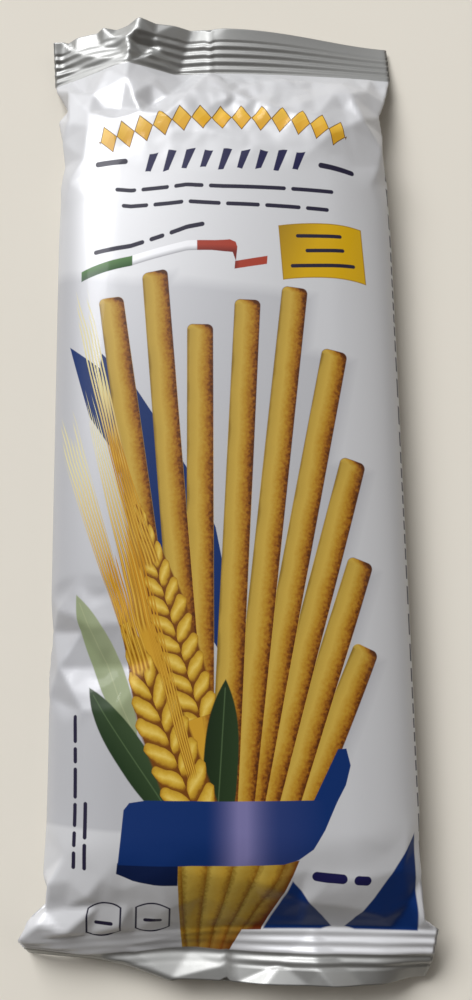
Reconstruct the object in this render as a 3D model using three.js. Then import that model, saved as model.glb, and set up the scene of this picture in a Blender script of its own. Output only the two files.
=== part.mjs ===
// A sealed flow-wrap pack of breadsticks, lying on its back with its printed front up.
// One sheet of film makes a tube around the sticks: a fin seal runs down the back, and a ribbed
// end seal closes each end. The pack is shut, so it is one solid out to the outside of the film.
// Units are millimetres, +Z is up, and +Y runs towards the top end seal.
import * as THREE from "three";

// The film tube
const FILM_WIDTH = 99; // the tube laid flat, edge to edge
const PACK_LENGTH = 252; // from one cut edge to the other
const SEAL_WIDTH = 12.5; // of each end seal, along the pack
const SEAL_THICKNESS = 0.8; // of the two sealed layers
const SIDE_THINNING = 0.6; // their thickness at the sides, as a share of that
const HALF_FILM = FILM_WIDTH / 2;
const SEAL_BASE = PACK_LENGTH / 2 - SEAL_WIDTH; // from the middle to where each seal begins

// The body, where the sticks fill the tube
const BODY_HALF_WIDTH = 45;
const BODY_HEIGHT = 18.5;
const CROWN = 1.2; // the front's rise between its shoulders
const EDGE_HEIGHT = 8; // of the pack's widest line, above the table
const FRONT_SHOULDER = 18; // how far each shoulder reaches in from the side
const BACK_SHOULDER = 14;
const FRONT_END_SLOPE = 26; // the length over which the front falls to an end seal
const BACK_END_SLOPE = 20;
const SLOPE_FULLNESS = 0.68; // below 1, the end slopes bulge outwards

// The fin seal, folded flat against the back
const FIN_CENTRE = -1;
const FIN_HALF_WIDTH = 5;
const FIN_GROOVE = 0.5; // the depth of the gap beside it
const FIN_GROOVE_WIDTH = 1;
const FIN_GROOVE_RUNOUT = 4;

// Dents in the body: where each is, how far it reaches and how deep it is pressed in
const DENTS = [
  { x: -45, y: -59, reach: 11, depth: 2.5 }, // in the left side
  { x: -42, y: -99, reach: 9, depth: 1.8 }, // above the bottom seal's ears
  { x: 41, y: -101, reach: 9, depth: 1.8 },
  { x: -34, y: 104, reach: 9, depth: 2.2 }, // below the top seal's crumple
  { x: 40, y: 92, reach: 12, depth: 1.2 },
];

// The ribs pressed into each end seal
const RIB_COUNT = 4;
const RIB_PITCH = 2.2;
const RIB_RISE = 0.3;
const RIB_START = 0.4;

// The top seal: its ears hang lower than its middle, and a crumple lifts it into a tent at the left
const TOP_EAR_HEIGHT = 4.3;
const TOP_ARCH = 2.8;
const TOP_EAR_INSET = 2.5;
const TENT_HEIGHT = 6.5;
const TENT_AT = -27;
const TENT_REACH = [18, 16]; // to the left and to the right
const TOP_TILT = 8; // degrees that the seal points upwards in the middle
const TOP_EAR_DROOP = 24; // degrees that its right ear turns down from there

// The bottom seal: its ears stick out, and a slanting fold turns its left corner down to the table
const BOTTOM_MIDDLE_HEIGHT = 8.5;
const BOTTOM_LEFT_RISE = 2.8;
const BOTTOM_EAR_REACH = 3.5;
const BOTTOM_SHIFT = -1.2; // of the whole seal, sideways
const CORNER_FOLD = [-46, 4]; // where the fold leaves the seal's base, and where it meets the cut edge
const CORNER_ANGLE = 58; // degrees that the corner is turned down
const FOLD_SOFTNESS = 1.6; // the width over which the fold bends
const BOTTOM_TILT = 6;

// Mesh fineness
const ACROSS = 22; // steps across each side of the tube
const OUTLINE_POINTS = 120;
const SLOPE_STEPS = 8;
const BODY_STEPS = 24;
const STEPS_PER_RIB = 4;

const { cos, sin, abs, min, max, sqrt, hypot, PI } = Math;
const radians = THREE.MathUtils.degToRad;
const mix = THREE.MathUtils.lerp;
const ease = (x) => THREE.MathUtils.smoothstep(x, 0, 1);
const counted = (length, make) => Array.from({ length }, (_, k) => make(k));

// The height that the crumple adds to the top seal at s, measured across the film from its middle.
function tent(s) {
  const reach = s < TENT_AT ? TENT_REACH[0] : TENT_REACH[1];
  return TENT_HEIGHT * max(0, 1 - abs(s - TENT_AT) / reach);
}

// Where each end seal begins, as its height and its distance from the pack's middle, at s.
const topSeal = {
  end: 1,
  shift: 0,
  height: (s) => TOP_EAR_HEIGHT + TOP_ARCH * (1 - (s / HALF_FILM) ** 2) + tent(s),
  distance: (s) => SEAL_BASE - TOP_EAR_INSET * (s / HALF_FILM) ** 2,
  tilt: (s) => TOP_TILT - TOP_EAR_DROOP * ease(s / HALF_FILM),
};
const bottomSeal = {
  end: -1,
  shift: BOTTOM_SHIFT,
  height: (s) => BOTTOM_MIDDLE_HEIGHT + BOTTOM_LEFT_RISE * ease(-s / HALF_FILM),
  distance: (s) => SEAL_BASE - BOTTOM_EAR_REACH * (1 - (s / HALF_FILM) ** 2),
  tilt: (s, r) => {
    const fold = (SEAL_WIDTH * (s - CORNER_FOLD[0])) / (CORNER_FOLD[1] - CORNER_FOLD[0]);
    return BOTTOM_TILT - CORNER_ANGLE * ease((r - fold) / FOLD_SOFTNESS + 0.5);
  },
};

// The sideways place of s on a seal's base line, which keeps the film's width along the line.
function sidewaysPlaces(seal) {
  const step = FILM_WIDTH / ACROSS;
  const places = [0];
  for (let i = 1; i <= ACROSS; i++) {
    const [a, b] = [-HALF_FILM + (i - 1) * step, -HALF_FILM + i * step];
    const rise = seal.height(b) - seal.height(a);
    const run = seal.distance(b) - seal.distance(a);
    places.push(places[i - 1] + sqrt(max(0, step ** 2 - rise ** 2 - run ** 2)));
  }
  const middle = places[ACROSS] / 2;
  return places.map((x) => x - middle + seal.shift);
}

// A point of the seal's middle surface, r out from its base line, and the surface's upward normal.
function sealPoint(seal, places, i, r) {
  const s = -HALF_FILM + (FILM_WIDTH * i) / ACROSS;
  const point = new THREE.Vector3(places[i], seal.end * seal.distance(s), seal.height(s));
  const steps = 12;
  let angle = 0;
  for (let k = 0; k < steps; k++) {
    angle = radians(seal.tilt(s, (r * (k + 0.5)) / steps));
    point.y += (seal.end * cos(angle) * r) / steps;
    point.z += (sin(angle) * r) / steps;
  }
  return { point, normal: new THREE.Vector3(0, -seal.end * sin(angle), cos(angle)) };
}

// The ribs' rise at r: full waves from the first rib to the last, and flat on either side.
function ribWave(r) {
  const along = (r - RIB_START) / RIB_PITCH;
  return along > 0 && along < RIB_COUNT ? RIB_RISE * sin(2 * PI * along) : 0;
}

// One ring of the seal: its front points from left to right, then its back points.
function sealRing(seal, places, r) {
  const front = [];
  const back = [];
  for (let i = 0; i <= ACROSS; i++) {
    const { point, normal } = sealPoint(seal, places, i, r);
    const half = (i === 0 || i === ACROSS ? SIDE_THINNING : 1) * (SEAL_THICKNESS / 2);
    front.push(point.clone().addScaledVector(normal, ribWave(r) + half));
    back.push(point.clone().addScaledVector(normal, ribWave(r) - half));
  }
  return { front, back };
}

// How far the back is lifted beside the fin at x.
function finGroove(x) {
  const off = abs(x - FIN_CENTRE) - FIN_HALF_WIDTH;
  const wall = off / (FIN_GROOVE_WIDTH / 2);
  const runout = 1 - (off - FIN_GROOVE_WIDTH) / FIN_GROOVE_RUNOUT;
  return FIN_GROOVE * max(0, min(1, wall, runout));
}

// The body's outline on one side, from the left edge to the right, as points of x and z.
function halfOutline(shoulder, rise, crown) {
  const flat = BODY_HALF_WIDTH - shoulder;
  const points = [];
  for (let k = 0; k <= OUTLINE_POINTS; k++) {
    const x = -BODY_HALF_WIDTH * cos((PI * k) / OUTLINE_POINTS);
    const over = max(0, abs(x) - flat) / shoulder;
    const crowned = crown * (1 - (x / BODY_HALF_WIDTH) ** 2);
    points.push(new THREE.Vector2(x, rise * sqrt(max(0, 1 - over ** 2)) + crowned));
  }
  return points;
}

// The same outline as ACROSS even steps along the film.
function evenly(points) {
  const path = new THREE.CurvePath();
  for (let k = 1; k < points.length; k++) path.add(new THREE.LineCurve(points[k - 1], points[k]));
  return counted(ACROSS + 1, (i) => path.getPoint(i / ACROSS));
}

const frontOutline = evenly(halfOutline(FRONT_SHOULDER, BODY_HEIGHT - EDGE_HEIGHT - CROWN, CROWN));
const backOutline = evenly(halfOutline(BACK_SHOULDER, -EDGE_HEIGHT, 0));

// How full the tube is at a distance in from the seal, on a slope of this length.
const fullness = (inward, slope) => (1 - (1 - min(1, inward / slope)) ** 2) ** SLOPE_FULLNESS;

// Presses the dents into a point of the body, towards the middle of the tube.
function dented(point) {
  for (const { x, y, reach, depth } of DENTS) {
    const near = max(0, 1 - hypot(point.x - x, point.y - y) / reach);
    const inwards = new THREE.Vector3(-point.x, 0, EDGE_HEIGHT - point.z).normalize();
    point.addScaledVector(inwards, depth * near);
  }
  return point;
}

// One ring of the body at a distance in from the seal at its end.
function bodyRing(seal, places, inward) {
  const edge = sealRing(seal, places, 0);
  const ring = (outline, sealed, slope, groove) =>
    outline.map((o, i) => {
      const full = fullness(inward, slope);
      const z = max(0, EDGE_HEIGHT + o.y) + (groove ? finGroove(o.x) : 0);
      const y = seal.end * (SEAL_BASE - inward);
      const drift = sealed[i].y - seal.end * SEAL_BASE;
      const fade = 1 - ease(inward / slope);
      const point = new THREE.Vector3(o.x, y + drift * fade, z);
      point.x = mix(sealed[i].x, point.x, full);
      point.z = mix(sealed[i].z, point.z, full);
      return inward > 0 ? dented(point) : point;
    });
  return {
    front: ring(frontOutline, edge.front, FRONT_END_SLOPE, false),
    back: ring(backOutline, edge.back, BACK_END_SLOPE, true),
  };
}

// The distances at which rings are made, from a seal's cut edge inwards: negative ones are on the seal.
function sealDistances() {
  const step = RIB_PITCH / STEPS_PER_RIB;
  const onRibs = counted(RIB_COUNT * STEPS_PER_RIB + 1, (k) => RIB_START + k * step);
  return [SEAL_WIDTH, (SEAL_WIDTH + onRibs.at(-1)) / 2, ...onRibs.reverse()];
}

// The distances of the rings on an end slope, closest together beside the seal.
const slopeDistances = counted(SLOPE_STEPS + 1, (k) => FRONT_END_SLOPE * (k / SLOPE_STEPS) ** 1.5);

// All the rings of one end, from its cut edge to where the body is full.
function endRings(seal) {
  const places = sidewaysPlaces(seal);
  return [
    ...sealDistances().map((r) => sealRing(seal, places, r)),
    ...slopeDistances.map((inward) => bodyRing(seal, places, inward)),
  ];
}

// The rings between the two ends, where the tube is full.
function middleRings() {
  const places = sidewaysPlaces(topSeal);
  const step = (2 * (SEAL_BASE - FRONT_END_SLOPE)) / BODY_STEPS;
  return counted(BODY_STEPS - 1, (k) => bodyRing(topSeal, places, FRONT_END_SLOPE + step * (k + 1)));
}

// Joins the rings into one closed skin. The front and back of a ring meet in one point at each side.
function closedSkin(rings) {
  const positions = [];
  const index = [];
  const size = 2 * ACROSS;
  for (const { front, back } of rings) {
    const left = front[0].clone().lerp(back[0], 0.5);
    const right = front[ACROSS].clone().lerp(back[ACROSS], 0.5);
    const loop = [left, ...front.slice(1, ACROSS), right, ...back.slice(1, ACROSS).reverse()];
    for (const p of loop) positions.push(p.x, p.y, p.z);
  }
  const triangle = (a, b, c) => {
    if (a !== b && b !== c && c !== a) index.push(a, b, c);
  };
  const quad = (a, b, c, d) => {
    triangle(a, b, c);
    triangle(a, c, d);
  };
  for (let ring = 0; ring < rings.length - 1; ring++) {
    for (let k = 0; k < size; k++) {
      const [a, b] = [ring * size + k, ring * size + ((k + 1) % size)];
      quad(b, a, a + size, b + size);
    }
  }
  const cap = (start, turned) => {
    for (let i = 0; i < ACROSS; i++) {
      const [f0, f1] = [start + i, start + i + 1];
      const [b0, b1] = [start + ((size - i) % size), start + size - i - 1];
      if (turned) quad(f0, b0, b1, f1);
      else quad(f0, f1, b1, b0);
    }
  };
  cap(0, false);
  cap((rings.length - 1) * size, true);
  const geometry = new THREE.BufferGeometry();
  geometry.setAttribute("position", new THREE.Float32BufferAttribute(positions, 3));
  geometry.setIndex(index);
  return geometry;
}

const rings = [...endRings(topSeal), ...middleRings(), ...endRings(bottomSeal).reverse()];
const geometry = closedSkin(rings);
geometry.computeBoundingBox();
const { min: low, max: high } = geometry.boundingBox;
geometry.translate(-(low.x + high.x) / 2, -(low.y + high.y) / 2, -low.z);
geometry.computeVertexNormals();

const film = new THREE.MeshStandardMaterial({ color: 0xd6d8dc, roughness: 0.32, metalness: 0.25 });
const pack = new THREE.Mesh(geometry, film);
pack.name = "pack";

const group = new THREE.Group();
group.add(pack);
export default group;
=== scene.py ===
"""Looks of a sealed flow-wrap pack of breadsticks: a printed film tube with ribbed end seals.

The film is simulated as an inextensible sheet. All film work is in millimetres in the pack's own
frame: +X right across the front, +Y towards the top seal, +Z up. Blender objects are in metres.
"""

import functools
import math

import bpy
import numpy as np
from mathutils import Euler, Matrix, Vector
from mathutils.geometry import delaunay_2d_cdt


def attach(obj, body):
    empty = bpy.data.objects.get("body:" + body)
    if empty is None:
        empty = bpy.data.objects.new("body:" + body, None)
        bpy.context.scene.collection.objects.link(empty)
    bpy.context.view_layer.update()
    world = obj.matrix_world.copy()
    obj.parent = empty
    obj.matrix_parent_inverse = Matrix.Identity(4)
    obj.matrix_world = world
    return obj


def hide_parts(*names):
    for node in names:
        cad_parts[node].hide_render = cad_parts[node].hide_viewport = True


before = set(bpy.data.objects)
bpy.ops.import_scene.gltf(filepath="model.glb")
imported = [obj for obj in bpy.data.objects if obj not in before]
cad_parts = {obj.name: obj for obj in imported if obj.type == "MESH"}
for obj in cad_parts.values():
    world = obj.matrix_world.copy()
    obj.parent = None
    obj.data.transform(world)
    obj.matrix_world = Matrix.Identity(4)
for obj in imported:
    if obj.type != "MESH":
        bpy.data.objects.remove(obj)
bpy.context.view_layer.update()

MM = 0.001

# ---- The film, in millimetres ----
FILM_WIDTH = 99  # the tube laid flat, edge to edge
HALF_FILM = FILM_WIDTH / 2
WEB_WIDTH = 2 * FILM_WIDTH  # round the tube
SEAL_WIDTH = 12.5
TUBE_LENGTH = 228.6  # of film, from one seal's base to the other's
WEB_LENGTH = TUBE_LENGTH + 2 * SEAL_WIDTH
LAYER_GAP = 0.24  # between the two film layers of a seal

# The fin seal, folded flat against the back
FIN_CENTRE = -1
FIN_HALF_WIDTH = 5
FIN_THICKNESS = 0.4
FIN_LIFTS = (0.27, 0.04)  # of its outer and its inner face off the film
FIN_RIB_RISE = 0.05
FIN_RIB_PITCH = 1.25

# What is inside: two layers of sticks, with rounded edges where the film bends over them
CONTENT_HALF = np.array([39.5, 98, 7.4])
CONTENT_MIDDLE = np.array([0, -2, 8.2])
CONTENT_ROUNDING = 5

# The film's shape round the sticks, before it settles
BODY_HALF_WIDTH = 45
EDGE_HEIGHT = 8  # of its widest line, above the table
SHOULDERS = {1: 18, -1: 14}  # how far the front's and the back's shoulders reach in
RISES = {1: 7.6, -1: -8}
CROWNS = {1: 3, -1: 0}
END_SLOPES = {1: (23, 27), -1: (20, 20)}  # the lengths over which they fall to the end seals
TABLE_GAP = 0.05


def ease(x):
    x = np.clip(x, 0, 1)
    return x * x * (3 - 2 * x)


def peak(s, at, reach_left, reach_right):
    """1 at a place, falling straight to 0 on either side."""
    reach = np.where(s < at, reach_left, reach_right)
    return np.maximum(0, 1 - np.abs(s - at) / reach)


# ---- The end seals ----
class TopSeal:
    """Its ears hang lower than its middle, and a crumple lifts it into a tent at the left."""
    end = 1
    shift = -0.4
    spread = 1.02
    lean = 0.28  # of the tent's ridge across the seal
    tent = (-24.8, 24.7, 15)  # where its top is, and how far it reaches to the left and the right

    @staticmethod
    def height(s):
        arch = 7.2 - np.where(s < 0, 6.3, 3.2) * np.abs(s / HALF_FILM) ** 1.3
        return arch + 8 * peak(s, *TopSeal.tent)

    @staticmethod
    def distance(s):
        return 111.8 + np.where(s < 0, 0.8, -1) * (s / HALF_FILM) ** 2

    @staticmethod
    def tilt(s, r):
        level = 11 + 6 * ease((-s - 26) / 12) - 26 * ease(s / HALF_FILM)
        return level - 14 * peak(s, *TopSeal.tent) + 0 * r

    @staticmethod
    def curl(s, r):
        """Its corners lie flat."""
        return 0 * s * r

    @staticmethod
    def rib_share(s, r):
        """How far the ribs stand up: they are crumpled away where the tent is."""
        return 1 - 0.6 * ease((s + 46) / 4) * ease((-14 - s) / 6) + 0 * r


class BottomSeal:
    """A slanting fold turns its left corner down to the table, and its right corner droops."""
    end = -1
    shift = -1.2
    spread = 1
    lean = 0

    @staticmethod
    def height(s):
        return 8.3 + 2.8 * ease(-s / HALF_FILM)

    @staticmethod
    def distance(s):
        return 114.4 - 1.4 * (1 - (s / HALF_FILM) ** 2)

    @staticmethod
    def turned_down(s, r):
        """1 past the slanting fold, 0 before it."""
        fold = SEAL_WIDTH * (s + 50) / 37
        return ease((r - fold) / 1.6 + 0.5)

    @staticmethod
    def tilt(s, r):
        left = ease((24 - s) / 40)
        level = 12 + 6 * left - 46 * left * ease((6.5 - r) / 2 + 0.5)
        level = level - 34 * ease((s - 20) / 30) * ease((r - 3) / 6)
        return level - (60 + level) * BottomSeal.turned_down(s, r)

    @staticmethod
    def curl(s, r):
        """How far its right corner curls down."""
        return 4.2 * ease((s - 34) / 15.5) * r / SEAL_WIDTH

    @staticmethod
    def rib_share(s, r):
        """How far the ribs stand up: pressed flat left of the middle, up to the slanting fold."""
        return np.maximum(ease((s + 4) / 16), BottomSeal.turned_down(s, r) * (s < 0)) * 0.85 + 0.15


# Folds pressed into the seals: places across and out from the base, and how far each is pushed up
SEAL_FOLDS = {
    1: [(-49.5, 0, 0), (-49.5, 12.5, 0.5), (-46, 12.5, 0.3), (-48, 3, 0.2), (-45, 12.5, -1.2),
        (-46.5, 5, -0.6), (-41.5, 12.5, 0.3), (-42, 8, 0.6), (-40, 3, -0.4), (-37, 9.5, -0.5),
        (-36.5, 5, 0.7), (-35, 12.5, -0.5), (-32.5, 12.5, 1.5), (-33, 7.5, -0.4), (-31, 3, 0.4),
        (-29.5, 9.5, 0.7), (-28.5, 12.5, -0.4), (-28, 6, -0.7), (-26, 3, 0.2), (-24.2, 0, 0),
        (-24.6, 8, 1.3), (-24, 4, 0.9), (-24, 12.5, 0.4), (-22.8, 6.5, -1.2), (-20.5, 12.5, 1.3),
        (-21, 9.5, 0.8), (-20, 3.5, -0.8), (-18, 6.5, -1.3), (-17.6, 3.2, 0.9), (-16.6, 9, 0.5),
        (-16, 12.5, -0.4), (-14.5, 5, 0.1), (-11, 12.5, 0.2), (-9, 0, 0), (-6, 6, 0),
        (-4, 12.5, -0.3), (4, 12.5, 0), (12, 6, 0), (20, 0, 0), (49.5, 0, 0),
        (49.5, 12.5, 0)],
    -1: [(-49.5, 0, 0), (-49.5, 12.5, 0), (-36, 6, 0.2), (-24, 12.5, -0.4), (-25, 4, 0.3),
         (-14, 12.5, 0.5), (-10, 7, -0.5), (-2, 9.5, 0.3), (2, 12.5, -0.7), (8, 12.5, 0.7),
         (12, 8, -0.4), (18, 12.5, -0.5), (20.5, 9, 0.7), (24, 12.5, 0.9), (27, 8.5, -0.5),
         (31, 12.5, -0.3), (0, 0, 0), (20, 0, 0), (40, 5, 0), (49.5, 0, 0),
         (49.5, 12.5, 0.2)],
}
FIN_NOTCH = 0.9  # how far the cut edge is drawn in where the fin seal crosses it
FIN_RIDGE = 0.25  # how far the fin seal pushes the end seals up
CURL_PULL = 0.6  # how far a curled corner is drawn in, as a share of its drop


def facet_weights(anchors, places):
    """The triangles of a net through anchors in a plane, and for each place its triangle's corners
    and how much of each it takes."""
    net = delaunay_2d_cdt([Vector(a) for a in anchors], [], [], 0, 1e-5)
    corners = np.array(net[2])
    flat = np.array([tuple(v) for v in net[0]])
    origin = np.array([o[0] for o in net[3]])
    index = np.zeros((len(places), 3), dtype=int)
    share = np.zeros((len(places), 3))
    best = np.full(len(places), -np.inf)
    for a, b, c in corners:
        p, q, r = flat[a], flat[b], flat[c]
        low = np.minimum(np.minimum(p, q), r) - 1e-6
        high = np.maximum(np.maximum(p, q), r) + 1e-6
        near = np.nonzero(((places >= low) & (places <= high)).all(1))[0]
        area = (q[0] - p[0]) * (r[1] - p[1]) - (q[1] - p[1]) * (r[0] - p[0])
        if abs(area) < 1e-9 or not len(near):
            continue
        d = places[near] - p
        v = (d[:, 0] * (r[1] - p[1]) - d[:, 1] * (r[0] - p[0])) / area
        w = (d[:, 1] * (q[0] - p[0]) - d[:, 0] * (q[1] - p[1])) / area
        weights = np.stack([1 - v - w, v, w], 1)
        better = weights.min(1) > best[near]
        chosen = near[better]
        best[chosen] = weights.min(1)[better]
        index[chosen] = origin[[a, b, c]]
        share[chosen] = np.clip(weights[better], 0, 1)
    return index, share


def pressed_folds(seal, s, r):
    """How far the folds push a seal's surface up."""
    folds = np.array(SEAL_FOLDS[seal.end])
    places = np.stack(np.broadcast_arrays(s, r), -1).reshape(-1, 2)
    index, share = facet_weights(folds[:, :2].tolist(), places)
    return (folds[index, 2] * share).sum(1).reshape(np.broadcast(s, r).shape)


def seal_surface(seal, s, r):
    """Points of a seal's middle surface, r out from its base at s, and the upward normals there."""
    line = np.linspace(-HALF_FILM, HALF_FILM, 397)
    rise, run = np.diff(seal.height(line)), np.diff(seal.distance(line))
    step = np.sqrt(np.maximum(0, (line[1] - line[0]) ** 2 - rise ** 2 - run ** 2))
    across = np.concatenate([[0], np.cumsum(step)])
    curl = seal.curl(s, r)
    x = np.interp(s, line, (across - across[-1] / 2) * seal.spread) + seal.shift - CURL_PULL * curl
    y = seal.end * seal.distance(s)
    z = seal.height(s - seal.lean * r) - curl
    parts = 24
    r = r * (1 - FIN_NOTCH / SEAL_WIDTH * np.exp(-((s - FIN_CENTRE) / 0.7) ** 2))
    for k in range(parts):
        angle = np.radians(seal.tilt(s, r * (k + 0.5) / parts))
        y = y + seal.end * np.cos(angle) * r / parts
        z = z + np.sin(angle) * r / parts
    point = np.stack([x + 0 * r, y, z], -1)
    normal = np.stack([0 * angle, -seal.end * np.sin(angle), np.cos(angle)], -1)
    return point, normal


def body_outline(side, s):
    """Where the film's places across lie on the body's outline: side 1 is the front, -1 the back."""
    x = -BODY_HALF_WIDTH * np.cos(np.linspace(0, np.pi, 241))
    over = np.maximum(0, np.abs(x) - BODY_HALF_WIDTH + SHOULDERS[side]) / SHOULDERS[side]
    z = EDGE_HEIGHT + RISES[side] * np.sqrt(np.maximum(0, 1 - over ** 2))
    z = z + CROWNS[side] * (1 - (x / BODY_HALF_WIDTH) ** 2)
    run = np.concatenate([[0], np.cumsum(np.hypot(np.diff(x), np.diff(z)))])
    at = run[-1] * (s + HALF_FILM) / FILM_WIDTH
    return np.interp(at, run, x), np.interp(at, run, z)


# ---- The film simulation ----
# The film is settled at each fineness in turn: its columns, rows and steps, and the pressure in it
FINENESSES = [(64, 74, 400, 0.004), (128, 148, 250, 0.002), (256, 296, 120, 0.0006)]
BEND_STIFFNESS = 0.02
DAMPING = 0.9
END_CLING = 0.0015  # how strongly the film is drawn to its pillow shape
MIDDLE_CLING = 0.02  # added to that in the middle
RIPPLE_BLUR = 5
MEETING_REACH = 22  # from each seal, where the film's two layers are kept apart


def pull(a, b, rest, stiffness):
    """Moves the two arrays of points so that each pair comes nearer to its rest distance."""
    d = b - a
    length = np.sqrt(np.einsum("...k,...k->...", d, d))[..., None]
    d *= 0.5 * stiffness * (length - rest) / np.maximum(length, 1e-6)
    a += d
    b -= d


class Film:
    """The tube as a grid of points. Rows run along it. Columns run round it, from the middle of
    the back by the left side, the front and the right side, and join up."""

    def __init__(self, columns, rows):
        self.columns, self.rows = columns, rows
        self.step_round = WEB_WIDTH / columns
        self.step_along = TUBE_LENGTH / rows
        self.web = -FILM_WIDTH + np.arange(columns) * self.step_round
        self.side = np.where(np.abs(self.web) <= HALF_FILM + 1e-6, 1, -1)
        back = np.sign(self.web) * (FILM_WIDTH - np.abs(self.web))
        self.s = np.where(self.side > 0, self.web, back)
        self.mirror = (columns // 2 - np.arange(columns)) % columns
        self.along = np.arange(rows + 1) * self.step_along
        self.inward = np.minimum(self.along, TUBE_LENGTH - self.along)
        self.bottom = self.seal_row(BottomSeal)
        self.top = self.seal_row(TopSeal)

    def seal_row(self, seal):
        point, normal = seal_surface(seal, self.s, np.zeros(self.columns))
        return point + normal * self.layer()[:, None]

    def layer(self):
        """How far each column's layer of a seal lies above its middle surface."""
        edge = self.mirror == np.arange(self.columns)
        return np.where(edge, 0, self.side * LAYER_GAP / 2)

    def pillow(self):
        """The shape that the film would have if it could stretch, with its points evenly along it."""
        finer = 4 * self.rows
        share = np.linspace(0, 1, finer + 1)[:, None]
        near = np.where(share[..., None] < 0.5, self.bottom, self.top)
        y = self.bottom[:, 1] + (self.top[:, 1] - self.bottom[:, 1]) * share
        inward = np.minimum(y - self.bottom[:, 1], self.top[:, 1] - y)
        shape = np.empty((finer + 1, self.columns, 3))
        for side in (1, -1):
            mine = self.side == side
            x, z = body_outline(side, self.s[mine])
            t = np.clip(inward[:, mine] / np.where(share < 0.5, *END_SLOPES[side]), 0, 1)
            full = (1 - (1 - t) ** 2) ** 0.85
            shape[:, mine, 0] = near[:, mine, 0] * (1 - full) + x * full
            shape[:, mine, 1] = y[:, mine]
            shape[:, mine, 2] = near[:, mine, 2] * (1 - full) + z * full
        run = np.linalg.norm(np.diff(shape, axis=0), axis=-1)
        run = np.concatenate([np.zeros((1, self.columns)), np.cumsum(run, 0)])
        even = np.linspace(0, 1, self.rows + 1)
        out = np.empty((self.rows + 1, self.columns, 3))
        for c in range(self.columns):
            for k in range(3):
                out[:, c, k] = np.interp(even * run[-1, c], run[:, c], shape[:, c, k])
        return out

    def refined(self, P):
        """The shape of a film of half this fineness, on this film's points."""
        fine = np.empty((self.rows + 1, self.columns, 3))
        fine[::2, ::2] = P
        fine[::2, 1::2] = 0.5 * (P + np.roll(P, -1, 1))
        fine[1::2] = 0.5 * (fine[:-1:2] + fine[2::2])
        return fine

    def constrain(self, P):
        """One sweep of the film's own constraints. Two turns of the grid reach every column pair."""
        ru, rv = self.step_round, self.step_along
        diagonal = math.hypot(ru, rv)
        for _ in range(2):
            P = np.roll(P, -1, 1)
            pull(P[:, ::2], P[:, 1::2], ru, 1)
            for first in (0, 1):
                a, b = P[first:-1:2], P[first + 1::2]
                pull(a[:, ::2], b[:, ::2], rv, 1)
                pull(a[:, ::2], b[:, 1::2], diagonal, 0.5)
                pull(a[:, 1::2], b[:, ::2], diagonal, 0.5)
            quads = P.reshape(P.shape[0], -1, 4, 3)
            pull(quads[:, :, 0], quads[:, :, 2], 2 * ru, BEND_STIFFNESS)
            pull(quads[:, :, 1], quads[:, :, 3], 2 * ru, BEND_STIFFNESS)
        P = np.roll(P, 2, 1)
        for first in range(4):
            a = P[first:-2:4]
            pull(a, P[first + 2::4][:len(a)], 2 * rv, BEND_STIFFNESS)
        return P

    def keep_off_sticks(self, P):
        """Keeps the film outside the sticks."""
        q = np.abs(P - CONTENT_MIDDLE) - (CONTENT_HALF - CONTENT_ROUNDING)
        outer = np.maximum(q, 0)
        away = np.linalg.norm(outer, axis=-1)
        nearest = q.max(-1)
        depth = CONTENT_ROUNDING - (away + np.minimum(nearest, 0))
        direction = np.where((away > 1e-6)[..., None], outer, q == nearest[..., None])
        direction /= np.maximum(np.linalg.norm(direction, axis=-1, keepdims=True), 1e-9)
        direction *= np.sign(P - CONTENT_MIDDLE)
        P += direction * np.maximum(depth, 0)[..., None]

    def keep_apart(self, P):
        """Keeps the film off the table, and each seal's layers in their order."""
        x, z = P[..., 0], P[..., 2]
        fin = np.clip(FIN_HALF_WIDTH + 1 - np.abs(x - FIN_CENTRE), 0, 1)
        np.maximum(z, TABLE_GAP + FIN_THICKNESS * fin, out=z)
        quarter = self.columns // 4
        front = slice(quarter + 1, 3 * quarter)
        ends = np.abs(self.along - TUBE_LENGTH / 2) > TUBE_LENGTH / 2 - MEETING_REACH
        upper, lower = P[ends][:, front], P[ends][:, self.mirror[front]]
        overlap = np.maximum(0, LAYER_GAP - (upper[..., 2] - lower[..., 2])) / 2
        upper[..., 2] += overlap
        lower[..., 2] -= overlap
        rows = np.nonzero(ends)[0][:, None]
        P[rows, np.arange(quarter + 1, 3 * quarter)[None]] = upper
        P[rows, self.mirror[front][None]] = lower

    def relax(self, P, steps, pressure):
        """Settles the film. It clings to its pillow shape in the middle, and hardly at the ends."""
        pillow = self.pillow()
        cling = (END_CLING + MIDDLE_CLING * ease((self.inward - 20) / 25))[:, None, None]
        before = P.copy()
        for _ in range(steps):
            after = P + (P - before) * DAMPING + grid_normals(P) * pressure
            after += (pillow - P) * cling
            before = P
            P = self.constrain(after)
            self.keep_off_sticks(P)
            self.keep_apart(P)
            P[0], P[-1] = self.bottom, self.top
        return P


def grid_normals(P):
    """The outward normals of a grid of points whose columns join up."""
    turn = np.roll(P, -1, 1) - np.roll(P, 1, 1)
    along = np.gradient(P, axis=0)
    n = np.cross(turn, along)
    return n / np.maximum(np.linalg.norm(n, axis=-1, keepdims=True), 1e-9)


def smooth_middle(film, P):
    """Takes the fine ripples out of the film between its ends."""
    pillow = film.pillow()
    off = P - pillow
    off = np.concatenate([off[:0:-1], off])
    along = np.fft.fftfreq(off.shape[0], film.step_along)[:, None, None]
    round_it = np.fft.fftfreq(off.shape[1], film.step_round)[None, :, None]
    keep = np.exp(-2 * (np.pi * RIPPLE_BLUR) ** 2 * (along ** 2 + round_it ** 2))
    smooth = np.fft.ifft2(np.fft.fft2(off, axes=(0, 1)) * keep, axes=(0, 1)).real[film.rows:]
    return P + (pillow + smooth - P) * ease((film.inward - 6) / 14)[:, None, None]


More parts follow.
